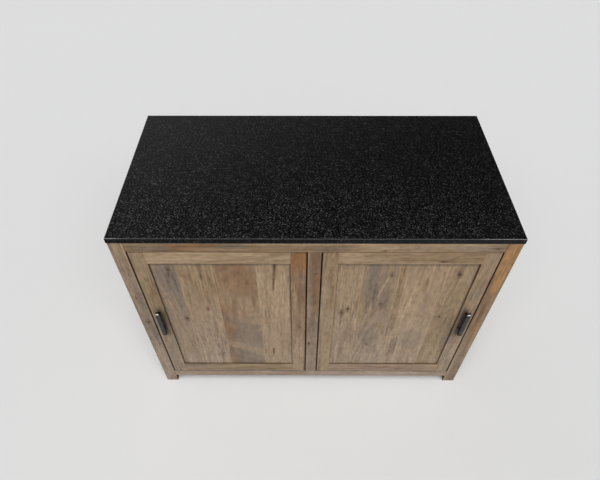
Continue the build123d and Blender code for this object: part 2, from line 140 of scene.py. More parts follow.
class CabinetLooks(bpy.types.PropertyGroup):
    """All that a user would change."""

    wood: PointerProperty(type=WoodLooks)
    stone: PointerProperty(type=StoneLooks)
    metal: PointerProperty(type=MetalLooks)
    stage: PointerProperty(type=StageLooks)


def looks():
    return bpy.context.scene.cabinet_looks


# Shader expressions

# A Mix node has sockets for each kind of value. These are the ones for the share and for colours.
MIX_SHARE, MIX_FIRST, MIX_SECOND, MIX_RESULT = 0, 6, 7, 2


class Field:
    """A node's output that takes part in sums as a number does."""

    def __init__(self, finish, socket):
        self.finish = finish
        self.socket = socket

    def math(self, operation, *others):
        values = dict(enumerate((self, *others)))
        return self.finish.node("ShaderNodeMath", {"operation": operation}, values)

    def reflected(self, operation, other):
        return self.finish.node("ShaderNodeMath", {"operation": operation}, {0: other, 1: self})

    def __add__(self, other):
        return self.math("ADD", other)

    __radd__ = __add__

    def __sub__(self, other):
        return self.math("SUBTRACT", other)

    def __rsub__(self, other):
        return self.reflected("SUBTRACT", other)

    def __mul__(self, other):
        return self.math("MULTIPLY", other)

    __rmul__ = __mul__

    def __truediv__(self, other):
        return self.math("DIVIDE", other)

    def __rtruediv__(self, other):
        return self.reflected("DIVIDE", other)

    def __pow__(self, other):
        return self.math("POWER", other)

    def __abs__(self):
        return self.math("ABSOLUTE")

    def least(self, other):
        return self.math("MINIMUM", other)

    def most(self, other):
        return self.math("MAXIMUM", other)

    def between(self, low, high):
        """0 at low and 1 at high, with soft ends. Low may be the greater one."""
        settings = {"interpolation_type": "SMOOTHSTEP"}
        values = {"Value": self, "From Min": low, "From Max": high}
        return self.finish.node("ShaderNodeMapRange", settings, values)


class Finish:
    """A material that is built up from expressions."""

    def __init__(self, name, data=None, coordinates="Object"):
        self.material = data or bpy.data.materials.new(name)
        self.material.use_nodes = True
        self.tree = self.material.node_tree
        self.tree.nodes.clear()
        self.place = self.node("ShaderNodeTexCoord", output=coordinates)

    def node(self, kind, settings=None, values=None, output=0):
        """A node of that kind. Its settings come first, then each socket takes its value or its link."""
        made = self.tree.nodes.new(kind)
        for name, setting in (settings or {}).items():
            setattr(made, name, setting)
        for name, value in (values or {}).items():
            if isinstance(value, Field):
                self.tree.links.new(value.socket, made.inputs[name])
            else:
                made.inputs[name].default_value = value
        return Field(self, made.outputs[output]) if made.outputs else None

    def scaled(self, scale, offset=(0, 0, 0), source=None):
        """Places, stretched along each axis and moved."""
        values = {0: source or self.place, 1: scale, 2: offset}
        return self.node("ShaderNodeVectorMath", {"operation": "MULTIPLY_ADD"}, values)

    def noise(self, scale, offset=(0, 0, 0), detail=2.0, source=None):
        """Soft noise from 0 to 1 about 0.5, with that many repeats in a metre along each axis."""
        values = {"Vector": self.scaled(scale, offset, source), "Scale": 1.0, "Detail": detail}
        return self.node("ShaderNodeTexNoise", {}, values)

    def axes(self, source=None):
        """The three coordinates as a dict."""
        split = self.node("ShaderNodeSeparateXYZ", {}, {0: source or self.place})
        return {axis: Field(self, split.socket.node.outputs[axis]) for axis in AXES}

    def mix(self, share, first, second):
        """Two colours, the second by its share."""
        first, second = (c if isinstance(c, Field) else (*c, 1.0) for c in (first, second))
        values = {MIX_SHARE: share, MIX_FIRST: first, MIX_SECOND: second}
        return self.node("ShaderNodeMix", {"data_type": "RGBA"}, values, MIX_RESULT)

    def shade(self, colour, factor):
        """A colour made lighter or darker."""
        return self.node("ShaderNodeVectorMath", {"operation": "SCALE"}, {0: colour, "Scale": factor})

    def bump(self, height, strength, distance):
        values = {"Height": height, "Strength": strength, "Distance": distance}
        return self.node("ShaderNodeBump", {}, values)

    def close(self, **values):
        """Ends the material with a Principled shader. Keyword names have underscores for spaces."""
        named = {name.replace("_", " "): value for name, value in values.items()}
        shader = self.node("ShaderNodeBsdfPrincipled", {}, named)
        self.node("ShaderNodeOutputMaterial", {}, {"Surface": shader})
        return self.material


# Aged wood

# Each layer of the grain: its repeats in a metre across and along the fibres, where its seed starts,
# and its detail.
GRAIN_LAYERS = {
    "drift": (14.0, 3.0, 1.9, 2.0),
    "streak": (58.0, 3.6, 13.7, 4.0),
    "fibre": (210.0, 9.0, 7.7, 4.0),
    "hair": (800.0, 34.0, 11.3, 2.0),
    "fleck": (95.0, 42.0, 29.3, 3.0),
    "pore": (560.0, 44.0, 17.9, 0.0),
    "cloud": (13.0, 6.5, 5.3, 3.0),
    "strength": (16.0, 7.0, 23.1, 1.0),
}
# These two lie still, and the others follow the bent fibres.
STILL_LAYERS = ("cloud", "strength")

# The fibres' sideways stray, how far it goes, and how long a knot's surroundings are for their width.
STRAY_LAYER = (5.0, 1.3, 3.1, 2.0)
SWAY = 28 * MM
KNOT_LENGTH = 2.2

# The heart of an arched figure lies nearer, and its rings are wider.
HEART_DEPTH = 0.3
HEART_RINGS = 2.6

# How much each layer lightens and darkens the wood.
STREAK_TONE, FIBRE_TONE, HAIR_TONE, PORE_TONE = 0.68, 0.84, 0.55, 0.16
RING_TONE, CLOUD_TONE, FLECK_TONE = 0.40, 0.52, 0.80

# How much of its tone a stain lends the wood.
LATE_WOOD_SHARE, RUST_SHARE, HALO_SHARE, KNOT_SHARE = 0.30, 0.45, 0.55, 0.88
CRACK_STAIN_SHARE, CRACK_SHARE = 0.5, 0.92

# Painted shade in the gaps beside the doors, on upright and on level edges, and the share of the dark
# tone that painted shade, grime and dirt take.
UPRIGHT_GAP_SHADE, LEVEL_GAP_SHADE = 0.93, 0.64
SHADE_AND_DIRT_TONE = 0.35
GAP_REACH = 2.0 * MM
RIM_REACH = 1.2 * MM


@dataclass
class Wood:
    """One piece of aged wood: how it lies in the log, its colours, and its marks.

    Marks are placed by their distance across the piece's face and along the grain, in millimetres
    of the frame, and tones are the names of WoodLooks.
    """

    first: str = "tan"
    second: str = "pale"
    along: str = "Z"  # the grain's axis
    across: str = "X"  # the face's other axis
    seed: float = 0.0
    pith: float = 60.0  # from the board's middle to the log's heart, in millimetres
    taper: float = 0.05  # how fast the rings run out along the board
    greying: float = 0.4  # the share of weathered grey
    figure: float = 1.0  # the strength of the rings
    grain: float = 1.0  # the strength of the streaks
    light: float = 1.0  # makes the whole piece lighter or darker
    ash: float = 0.0  # paints it paler and greyer towards the floor, as painted light from the floor
    gaps: str = ""  # edges that face a door's gap: - is the low one, and + the high one
    rims: str = ""  # edges that stand over a panel, named in the same way
    knots: tuple = ()  # across, along, radius
    patches: tuple = ()  # across, along, half width, half length, tone, share
    cracks: tuple = ()  # across at the low end, across at the high end, low end, high end, half width
    lines: tuple = ()  # across, along, lean, half width, tone, share, half length
    heart: tuple = ()  # across, along and stretch of an arched figure

    def stretch(self, across, along):
        return [along if axis == self.along else across for axis in AXES]

    def layer(self, finish, numbers, source=None):
        across, along, step, detail = numbers
        start = [self.seed * 1.7 + step, self.seed * 2.3 - step, self.seed * 0.9 + 2 * step]
        return finish.noise(self.stretch(across, along), start, detail, source)

    def bend(self, finish, u, w):
        """How far the fibres stray sideways: slowly everywhere, and round each knot."""
        stray = (self.layer(finish, STRAY_LAYER) - 0.5) * SWAY
        rounds = []
        for across, along, size in self.knots:
            side = (u - across * MM) / (size * MM)
            run = (w - along * MM) / (KNOT_LENGTH * size * MM)
            far = side * side + run * run
            stray = stray - side / (1.0 + far * far) * (0.9 * size * MM)
            rounds.append((far, side * side + run * run * 3.0))
        return stray, rounds

    def rings(self, finish, box, bent, w, spacing):
        """Growth rings of uneven width, as the face cuts them."""
        low, high = box
        depth = next(axis for axis in AXES if axis not in (self.along, self.across))
        shift = [0.0, 0.0, 0.0]
        scale = self.stretch(1.0, 0.0)
        i, j, k = (AXES.index(axis) for axis in (self.across, depth, self.along))
        shift[j] = -(low[j] + high[j]) / 2 + self.pith * MM
        if self.heart:
            across, along, stretch = self.heart
            shift[i], shift[j] = -across * MM, HEART_DEPTH * shift[j]
            scale[j], scale[k], shift[k] = HEART_DEPTH, 1.0 / stretch, -along * MM / stretch
            spacing = HEART_RINGS * spacing
        else:
            shift[i] = -(low[i] + high[i]) / 2 - 15 * MM + 14 * MM * math.sin(self.seed * 12.9)
        flat = finish.scaled(scale, shift, bent)
        radius = finish.node("ShaderNodeVectorMath", {"operation": "LENGTH"}, {0: flat}, output="Value")
        radius = (radius + w * self.taper) / spacing + self.seed * 3.3
        values = {"W": radius, "Scale": 1.0, "Detail": 2.0}
        return finish.node("ShaderNodeTexNoise", {"noise_dimensions": "1D"}, values)

    def make(self, name, box, opening=None):
        """The material. The piece's box gives it worn edges, and a panel's opening gives it grime and
        painted shade.
        """
        finish = Finish(name)
        place = finish.axes()
        u, w = place[self.across], place[self.along]
        stray, rounds = self.bend(finish, u, w)
        sideways = [float(axis == self.across) for axis in AXES]
        bent = finish.scaled(sideways, finish.place, stray)
        layers = {}
        for layer, numbers in GRAIN_LAYERS.items():
            layers[layer] = self.layer(finish, numbers, None if layer in STILL_LAYERS else bent)
        fibre, cloud, streak = layers["fibre"], layers["cloud"], layers["streak"]
        worn_grey = (cloud + (streak - 0.5) * 0.9).between(0.46, 0.78) * self.greying
        pore = layers["pore"].between(0.60, 0.76)

        ring = self.rings(finish, box, bent, w, looks().wood.ring_spacing)
        colour, value = self.plain_wood(finish, w, ring, worn_grey, pore, layers)
        colour = self.stained(finish, u, w, colour, layers)
        colour, value = self.knotted(finish, rounds, colour, value, fibre)
        colour, value, groove = self.cracked(finish, u, w, stray, colour, value, fibre)
        value = value + self.worn(place, box, fibre)
        if self.light != 1.0:
            value = value * self.light
        colour = finish.shade(colour, value)
        # Grime, dirt and painted shade pull the colour towards the dark tone.
        for share in self.dirt_and_painted_shade(place, box, opening, streak, cloud):
            colour = finish.mix(share, colour, darkened(looks().wood.dark, SHADE_AND_DIRT_TONE))
        height = fibre * 0.5 + layers["hair"] * 0.35 - pore * 0.5 + streak * 0.5
        if groove is not None:
            height = height - groove * 3.0
        return finish.close(
            Base_Color=colour,
            Roughness=0.50 + fibre * 0.16 + worn_grey * 0.10,
            Specular_IOR_Level=0.30,
            Normal=finish.bump(height, 0.6, looks().wood.relief),
        )

    def plain_wood(self, finish, w, ring, worn_grey, pore, layers):
        """The wood's colour without its marks, and how light each place of it is."""
        wood = looks().wood
        drift, streak, fibre, hair, fleck, cloud = (
            layers[name] for name in ("drift", "streak", "fibre", "hair", "fleck", "cloud")
        )
        share = (drift + (streak - 0.5) * 0.8).between(0.36, 0.64)
        colour = finish.mix(share, getattr(wood, self.first), getattr(wood, self.second))
        colour = finish.mix(worn_grey, colour, wood.grey)
        # Paler and greyer towards the floor: painted light from the floor.
        if self.ash:
            floor_lit_share = (w + (cloud - 0.5) * 0.3 + (streak - 0.5) * 0.3).between(0.66, 0.16)
            colour = finish.mix(floor_lit_share * self.ash, colour, wood.ash)
        late = ring.between(0.56, 0.72) * self.figure
        colour = finish.mix(late * LATE_WOOD_SHARE, colour, wood.brown)
        rust = (streak + (fibre - 0.5) * 0.6).between(0.50, 0.26)
        colour = finish.mix(rust * (RUST_SHARE * self.grain), colour, wood.brown)
        strength = layers["strength"].between(0.30, 0.68)
        strength = (strength * 1.05 + 0.35) * (wood.contrast * self.grain)
        fine = (streak - 0.5) * STREAK_TONE + (fibre - 0.5) * FIBRE_TONE
        fine = fine + (hair - 0.5) * HAIR_TONE - pore * PORE_TONE
        value = 1.0 + fine * strength + (0.5 - ring) * (RING_TONE * self.figure)
        return colour, value + (cloud - 0.5) * CLOUD_TONE + (fleck - 0.5) * FLECK_TONE

    def stained(self, finish, u, w, colour, layers):
        """The colour with the piece's patches and lines."""
        streak, drift, cloud = (layers[name] - 0.5 for name in ("streak", "drift", "cloud"))
        ragged = streak * (3.6 * self.grain) + drift * 2.6 + cloud * 2.0
        for across, along, half_width, half_length, name, share in self.patches:
            side = (u - across * MM) / (half_width * MM)
            run = (w - along * MM) / (half_length * MM)
            mask = (side * side + run * run + ragged).between(1.7, 0.0)
            colour = finish.mix(mask * share, colour, getattr(looks().wood, name))
        for across, along, lean, half_width, name, share, length in self.lines:
            off = abs(u - across * MM - (w - along * MM) * lean + drift * (20 * MM))
            line = off.between(half_width * MM, half_width * 0.2 * MM)
            line = line * abs(w - along * MM).between(length * MM, length * 0.5 * MM)
            colour = finish.mix(line * share, colour, getattr(looks().wood, name))
        return colour

    def knotted(self, finish, rounds, colour, value, fibre):
        """A brown halo round each knot, and its dark core."""
        wood = looks().wood
        for far, core in rounds:
            halo = (far + (fibre - 0.5) * 1.4).between(1.9, 0.1)
            heart = (core + (fibre - 0.5) * 0.3).between(0.34, 0.05)
            colour = finish.mix(halo * HALO_SHARE, colour, wood.brown)
            colour = finish.mix(heart * KNOT_SHARE, colour, wood.dark)
            value = value * (1.0 - halo * 0.16)
        return colour, value

    def cracked(self, finish, u, w, stray, colour, value, fibre):
        """Each crack, widest at its high end, and the stain beside it. The groove is for the relief."""
        wood = looks().wood
        groove = None
        for foot, head, start, end, half_width in self.cracks:
            lean = (head - foot) / (end - start)
            off = abs(u + stray * 0.25 - foot * MM - (w - start * MM) * lean + (fibre - 0.5) * (3 * MM))
            taper = (w - start * MM).between(-10 * MM, (end - start) * MM) * 0.75 + 0.25
            ends = (w - start * MM).between(0.0, 14 * MM) * (w - end * MM).between(3 * MM, -3 * MM)
            crack = off.between(half_width * 1.7 * MM, half_width * 0.4 * MM) * taper * ends
            stain = off.between(half_width * 5 * MM, half_width * MM) * ends
            colour = finish.mix(stain * CRACK_STAIN_SHARE, colour, wood.brown)
            colour = finish.mix(crack * CRACK_SHARE, colour, wood.dark)
            value = value * (1.0 - stain * 0.15)
            groove = crack if groove is None else groove.most(crack)
        return colour, value, groove

    def dirt_and_painted_shade(self, place, box, opening, streak, cloud):
        """The shares of grime and painted shade in a panel's grooves, of painted shade in the doors'
        gaps, and of dirt and painted shade on the rims' sides in the recess.
        """
        shares = []
        if opening:
            shares.append(self.grime_and_painted_shade(place, opening, streak))
        if self.gaps:
            amount = UPRIGHT_GAP_SHADE if self.along == "Z" else LEVEL_GAP_SHADE
            shares.append(self.gap_painted_shade(place, box, streak) * amount)
        # A rim's side within the panel's recess takes dirt and painted shade.
        if self.rims:
            corner = (place["Y"] - box[0][1]).between(0.5 * MM, 5.0 * MM)
            shares.append(self.on_edges(place, box, self.rims, RIM_REACH) * corner * (cloud * 0.7 + 0.20))
        return shares

    def grime_and_painted_shade(self, place, opening, streak):
        """Dirt and old wax that cloths never reach, and painted shade, where a panel meets its frame,
        most at the top, where a painted shadow of the rail lies.
        """
        near = None
        for axis, (start, end) in opening.items():
            reach = (place[axis] - start).least(end - place[axis])
            near = reach if near is None else near.least(reach)
        near = near + (streak - 0.5) * (6 * MM)
        grime_and_painted_shade = near.between(11 * MM, -1 * MM) * 0.36 + near.between(5.0 * MM, 0.8 * MM) * 0.48
        # Below the top rail: a painted shadow of the rail over the recess.
        if "Z" in opening:
            painted_shadow_below_top = opening["Z"][1] - place["Z"] + (streak - 0.5) * (8 * MM)
            grime_and_painted_shade = grime_and_painted_shade.most(painted_shadow_below_top.between(22 * MM, 4 * MM) * 0.50)
        return grime_and_painted_shade

    def on_edges(self, place, box, sides, reach_in):
        """1 on the long edges on those sides, and 0 on the faces beyond that reach."""
        low, high = (corner[AXES.index(self.across)] for corner in box)
        reach = {"-": place[self.across] - low, "+": high - place[self.across]}
        near = [reach[side] for side in sides]
        return (near[0] if len(near) == 1 else near[0].least(near[1])).between(reach_in, 0.3 * reach_in)

    def gap_painted_shade(self, place, box, streak):
        """Painted shade on the edges beside a door's gap, strongest in the gap's front part."""
        depth = place["Y"] - box[0][1] + (streak - 0.5) * (9 * MM)
        shade_by_depth = depth.between(16 * MM, 6 * MM) * 0.76 + 0.24
        return self.on_edges(place, box, self.gaps, GAP_REACH) * shade_by_depth

    def worn(self, place, box, fibre):
        """Sanded arrises are a little lighter: a share of light to add near the long edges."""
        low, high = box
        near = []
        for i, axis in enumerate(AXES):
            if axis != self.along:
                near.append((place[axis] - low[i]).least(high[i] - place[axis]))
        return near[0].most(near[1]).between(2.8 * MM, 0.5 * MM) * (fibre * 0.30 + 0.02)


def add_piece(name, data):
    """A new object of that data, in the scene."""
    piece = bpy.data.objects.new(name, data)
    bpy.context.scene.collection.objects.link(piece)
    return piece


def put_on(node_name, material):
    """A CAD node takes this material on all its faces."""
    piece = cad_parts[node_name]
    piece.data.materials.clear()
    piece.data.materials.append(material)


def dress_timbers(timbers):
    """The CAD nodes with these names take their wood."""
    for node_name, wood in timbers.items():
        put_on(node_name, wood.make(node_name + "_wood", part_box(node_name)))


# Boards

GROOVE = 8 * MM
BOARD_EASE = 0.35 * MM
DOOR_PITCH, SIDE_PITCH, INSIDE_PITCH = 7 * MM, 9 * MM, 30 * MM

# How deep the brushed hollows, the cracks' high ends and the knots' middles are.
HOLLOW_DEPTH, CRACK_DEPTH, KNOT_DEPTH = 0.22 * MM, 1.4 * MM, 0.5 * MM
HOLLOWS_ACROSS, HOLLOWS_ALONG = 28.0, 3.0


def lines_between(start, end, pitch, extra):
    """Places from start to end, about a pitch apart, with more of them where they are asked for."""
    count = max(2, round((end - start) / pitch))
    places = {round(start + (end - start) * i / count, 6) for i in range(count + 1)}
    places |= {round(place, 6) for place in extra if start + MM < place < end - MM}
    return sorted(places)


def sunk(wood, u, w):
    """How far a board's face lies below its own plane at a place across and along the grain."""
    hollow = noise.noise(Vector((u * HOLLOWS_ACROSS, w * HOLLOWS_ALONG, wood.seed * 7.3))) * 0.5 + 0.5
    depth = HOLLOW_DEPTH * hollow
    for foot, head, start, end, half_width in wood.cracks:
        share = (w / MM - start) / (end - start)
        middle = foot + (head - foot) * share
        if 0.0 < share < 1.0 and abs(u / MM - middle) < 1.1 * half_width:
            depth += CRACK_DEPTH * share
    for place, along, size in wood.knots:
        far = math.hypot(u - place * MM, 0.6 * (w - along * MM)) / (0.35 * size * MM)
        depth += KNOT_DEPTH * math.exp(-far * far)
    return depth


def board_lines(low, high, i, k, wood, pitch):
    """Where a board's mesh is cut across and along the grain: closer at its cracks and knots."""
    across, along = [], []
    for foot, head, start, end, half_width in wood.cracks:
        middle = (foot + head) / 2
        reach = abs(head - foot) / 2 + 3 * half_width
        across += [(middle + reach * step / 6) * MM for step in range(-6, 7)]
        along += [(start + (end - start) * step / 6) * MM for step in range(7)]
    for place, middle, size in wood.knots:
        across += [(place + size * step) * MM for step in (-0.6, -0.3, 0, 0.3, 0.6)]
        along += [(middle + size * step) * MM for step in (-1.0, -0.5, 0, 0.5, 1.0)]
    ease = BOARD_EASE
    columns = [low[i], *lines_between(low[i] + ease, high[i] - ease, pitch, across), high[i]]
    rows = [low[k], *lines_between(low[k] + ease, high[k] - ease, 1.6 * pitch, along), high[k]]
    return columns, rows


def board_mesh(name, box, wood, pitch):
    """A board with eased long edges, brushed hollows, and its cracks and knots sunk into both faces."""
    low, high = box
    i, k = AXES.index(wood.across), AXES.index(wood.along)
    j = 3 - i - k
    columns, rows = board_lines(low, high, i, k, wood, pitch)
    shape = bmesh.new()
    faces = []
    for outward, plane in ((-1.0, low[j]), (1.0, high[j])):
        grid = []
        for u in columns:
            line = []
            for w in rows:
                rim = u in (columns[0], columns[-1]) or w in (rows[0], rows[-1])
                point = [0.0, 0.0, 0.0]
                point[i], point[k] = u, w
                point[j] = plane - outward * (BOARD_EASE if rim else sunk(wood, u, w))
                line.append(shape.verts.new(point))
            grid.append(line)
        faces.append(grid)
    front, back = faces
    for a in range(len(columns) - 1):
        for b in range(len(rows) - 1):
            for grid in faces:
                corners = (grid[a][b], grid[a + 1][b], grid[a + 1][b + 1], grid[a][b + 1])
                shape.faces.new(corners if grid is front else reversed(corners))
    for a in range(len(columns) - 1):
        for b in (0, -1):
            shape.faces.new((front[a][b], front[a + 1][b], back[a + 1][b], back[a][b]))
    for b in range(len(rows) - 1):
        for a in (0, -1):
            shape.faces.new((front[a][b], front[a][b + 1], back[a][b + 1], back[a][b]))
    bmesh.ops.recalc_face_normals(shape, faces=shape.faces)
    for face in shape.faces:
        face.smooth = abs(face.normal[j]) > 0.5
    for edge in shape.edges:
        if len(edge.link_faces) == 2 and edge.calc_face_angle() > 0.5:
            edge.smooth = False
    return finished_piece(name, shape)


def finished_piece(name, shape):
    """The object of a finished shape."""
    mesh = bpy.data.meshes.new(name)
    shape.to_mesh(mesh)
    shape.free()
    return add_piece(name, mesh)


def glue_up(node_name, body, boards, pitch, framed=True, low_side_shift=0.0):
    """Boards glued edge to edge in place of a plain panel.

    Each board is its far limit across the panel, in millimetres, and its wood. The last argument
    moves the grime and painted shade at the panel's low side out of sight by that much.
    """
    low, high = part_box(node_name)
    across, along = boards[0][1].across, boards[0][1].along
    opening = None
    if framed:
        opening = {name: (low[AXES.index(name)] + GROOVE, high[AXES.index(name)] - GROOVE)
                   for name in (across, along)}
        opening[across] = (opening[across][0] - low_side_shift, opening[across][1])
    axis = AXES.index(across)
    start = low[axis]
    for number, (limit, wood) in enumerate(boards, 1):
        first, last = low.copy(), high.copy()
        first[axis] = start
        last[axis] = high[axis] if limit is None else limit * MM
        start = last[axis]
        name = f"{node_name}_board_{number}"
        piece = board_mesh(name, (first, last), wood, pitch)
        piece.data.materials.append(wood.make(name + "_wood", (first, last), opening))
        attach(piece, body)
        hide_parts(node_name)


class CabinetOperator(bpy.types.Operator):
    """What the operators share."""

    bl_options = {"REGISTER", "UNDO"}


# Worktop

# The stone's three kinds of flake: their width in typical flakes, where their cells start, which of a
# cell's random numbers they use, how rare the bright ones are, and their share.
FLAKES = (
    (1.0, (0, 0, 0), "X", 11.0, 1.20),
    (1 / 2.0, (3.3, 8.1, 2.7), "Y", 10.0, 0.30),
    (1 / 0.45, (1.9, 5.2, 6.4), "Z", 28.0, 0.65),
)


def granite_finish(stone, box):
    """Black granite. Its flakes, painted stronger towards the front and the left as painted glints, and
    its gloss differ from front to back and from left to right; its edge faces take a painted sheen and
    painted shade, and its arris a painted highlight.
    """
    finish = Finish("black_granite")
    low, high = box
    place = finish.axes()
    x, depth = place["X"], high[2] - place["Z"]
    sides = depth.between(0.25 * MM, 0.6 * MM)
    # The arris: its paler colour below is a painted highlight, and it also takes a thicker coat.
    arris = depth.between(1.5 * MM, 0.7 * MM) * depth.between(0.02 * MM, 0.3 * MM)
    cloud = finish.noise((5.0, 7.0, 5.0), (4, 1, 7), 3.0)
    mottle = finish.noise((38.0, 46.0, 38.0), (2, 9, 4))
    front = (place["Y"] + (cloud - 0.5) * 0.5).between(high[1], low[1])
    flakes = None
    for size, start, number, rarity, share in FLAKES:
        values = {"Vector": finish.scaled((1.0 / (stone.flake_size * size),) * 3, start), "Scale": 1.0}
        cells = finish.node("ShaderNodeTexVoronoi", {}, values, "Color")
        kind = finish.axes(cells)[number] ** rarity * share
        flakes = kind if flakes is None else flakes + kind
    # Flakes painted stronger towards the front and the left: painted glints.
    painted_glint_strength = 0.14 + front * front * (0.33 - x * 0.16) - x * 0.06 + cloud * 0.20
    flakes = flakes * (painted_glint_strength * (0.20 + mottle * 1.6))
    # A painted sheen on the edge faces, stronger towards the right; the edge faces also show half the
    # flakes, as painted shade.
    painted_sheen = sides * (x.between(-0.25, 0.45) * 0.06 + 0.01)
    share = (flakes * (1.0 - sides * 0.5) + arris * 0.6 + painted_sheen).least(1.0)
    return finish.close(
        Base_Color=finish.mix(share, stone.ground, stone.flake),
        Roughness=0.32 + flakes * 0.20,
        Specular_IOR_Level=0.03,
        Coat_Weight=(0.335 + front * (0.33 - front * 0.44)) * (1.0 - sides) + arris * 1.2,
        Coat_Roughness=0.04,
        Normal=finish.bump(flakes, 0.10, 0.05 * MM),
    )


class CABINET_OT_worktop(CabinetOperator):
    """Polished black granite with fine grey flakes"""

    bl_idname = "cabinet.worktop"
    bl_label = "Worktop"

    def execute(self, context):
        put_on("granite_worktop", granite_finish(looks().stone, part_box("granite_worktop")))
        return {"FINISHED"}


# Carcase

# How the level timbers lie, from left to right and from front to back.
LEVEL = {"along": "X", "across": "Z"}
DEEP = {"along": "Y", "across": "Z"}

CARCASE_TIMBERS = {
    "front_left_post": Wood(
        "pink", "tan", seed=1, gaps="+", light=0.93, ash=0.6, knots=[(-575, 455, 8), (-581, 604, 6)],
        patches=[(-578, 450, 34, 170, "grey", 0.85), (-572, 800, 16, 70, "olive", 0.5)],
    ),
    "front_right_post": Wood(
        "brown", "tan", seed=2, gaps="-", light=0.98,
        patches=[(592, 850, 24, 50, "amber", 1.0), (574, 780, 20, 70, "amber", 0.7),
                 (578, 690, 13, 45, "amber", 0.7), (570, 560, 9, 60, "brown", 0.4),
                 (584, 400, 8, 50, "amber", 0.5), (577, 150, 26, 150, "grey", 0.8),
                 (577, 130, 26, 130, "brown", 0.3)],
    ),
    "back_left_post": Wood("tan", "olive", seed=3, knots=[(-566, 500, 8)]),
    "back_right_post": Wood("tan", "brown", seed=4),
    "front_top_rail": Wood(
        "brown", "olive", seed=5, gaps="-", light=0.92, **LEVEL, knots=[(856, 529, 5), (845, 205, 5)],
        patches=[(852, -300, 24, 260, "brown", 0.7), (862, -370, 18, 60, "orange", 0.4),
                 (850, -300, 24, 250, "dark", 0.07), (866, -235, 18, 34, "grey", 0.8),
                 (858, -480, 16, 60, "grey", 0.5), (862, 250, 26, 140, "pale", 0.8),
                 (858, 60, 14, 60, "grey", 0.4), (860, 470, 24, 80, "ash", 0.6)],
        # The pale line just under the worktop is painted light against the overhang's shadow.
        lines=[(876, 180, 0, 10, "pale", 1.0, 520)],
    ),
    "front_bottom_rail": Wood(
        "ash", "pink", seed=6, greying=0.5, gaps="+", **LEVEL,
        patches=[(66, 300, 30, 260, "ash", 0.8), (60, -300, 20, 150, "pink", 0.6)],
    ),
    "centre_stile": Wood(
        "brown", "tan", seed=7, gaps="+-", light=0.84, ash=0.65, knots=[(6, 735, 7), (-10, 308, 8)],
        patches=[(8, 720, 24, 180, "brown", 0.85), (12, 660, 8, 100, "orange", 0.45),
                 (-12, 560, 9, 220, "pink", 0.6), (0, 200, 22, 130, "pink", 0.6)],
        lines=[(8, 720, 0, 34, "dark", 0.13, 190)],
    ),
    "back_top_rail": Wood("tan", "olive", seed=8, **LEVEL),
    "back_bottom_rail": Wood("tan", "grey", seed=9, **LEVEL),
    "left_side_top_rail": Wood("tan", "olive", seed=10, **DEEP),
    "left_side_bottom_rail": Wood("pink", "tan", seed=11, **DEEP),
    "right_side_top_rail": Wood("brown", "tan", seed=12, **DEEP),
    "right_side_bottom_rail": Wood("tan", "grey", seed=13, **DEEP),
    "left_top_stretcher": Wood("pale", "tan", along="Y", across="X", seed=14),
    "right_top_stretcher": Wood("pale", "olive", along="Y", across="X", seed=15),
}


class CABINET_OT_carcase(CabinetOperator):
    """Aged wood on the posts, the rails, the centre stile and the stretchers"""

    bl_idname = "cabinet.carcase"
    bl_label = "Carcase timbers"

    def execute(self, context):
        dress_timbers(CARCASE_TIMBERS)
        return {"FINISHED"}


# Sides, back and inside

CLEATS = {
    "front_cleat": Wood("pale", "tan", seed=100, **LEVEL),
    "back_cleat": Wood("pale", "tan", seed=101, **LEVEL),
    "left_cleat": Wood("pale", "tan", seed=102, **DEEP),
    "right_cleat": Wood("pale", "tan", seed=103, **DEEP),
}


def plain_boards(limits, tones, seed, **facts):
    """Boards of alternating tones up to each limit, and a last one to the edge."""
    boards = []
    for number, limit in enumerate([*limits, None]):
        first, second = tones[number % len(tones)]
        boards.append((limit, Wood(first, second, seed=seed + 3.7 * number, **facts)))
    return boards


class CABINET_OT_sides_and_back(CabinetOperator):
    """Glued-up boards in the frames of the sides and the back"""

    bl_idname = "cabinet.sides_and_back"
    bl_label = "Side and back panels"

    def execute(self, context):
        tones = [("tan", "pale"), ("olive", "tan"), ("brown", "grey"), ("pale", "tan"), ("pink", "tan")]
        side = plain_boards((-130, -10, 95, 190), tones, 20.0, across="Y")
        glue_up("left_side_panel", "cabinet", side, SIDE_PITCH)
        side = plain_boards((-150, -45, 70, 175), tones[2:] + tones[:2], 40.0, across="Y")
        glue_up("right_side_panel", "cabinet", side, SIDE_PITCH)
        limits = (-445, -330, -190, -80, 40, 165, 270, 400, 490)
        glue_up("back_panel", "cabinet", plain_boards(limits, tones, 60.0), INSIDE_PITCH)
        return {"FINISHED"}


class CABINET_OT_inside(CabinetOperator):
    """Boards of the bottom and the shelf, and the cleats"""

    bl_idname = "cabinet.inside"
    bl_label = "Inside"

    def execute(self, context):
        tones = [("pale", "tan"), ("tan", "olive"), ("pale", "olive"), ("tan", "brown")]
        lying = {"along": "X", "across": "Y", "greying": 0.15}
        bottom = plain_boards((-150, -20, 110, 220), tones, 80.0, **lying)
        glue_up("bottom_board", "cabinet", bottom, INSIDE_PITCH, framed=False)
        dress_timbers(CLEATS)
        shelf = plain_boards((-140, 0, 130, 225), tones[1:], 90.0, **lying)
        glue_up("shelf", "cabinet", shelf, INSIDE_PITCH, framed=False)
        return {"FINISHED"}


# Doors

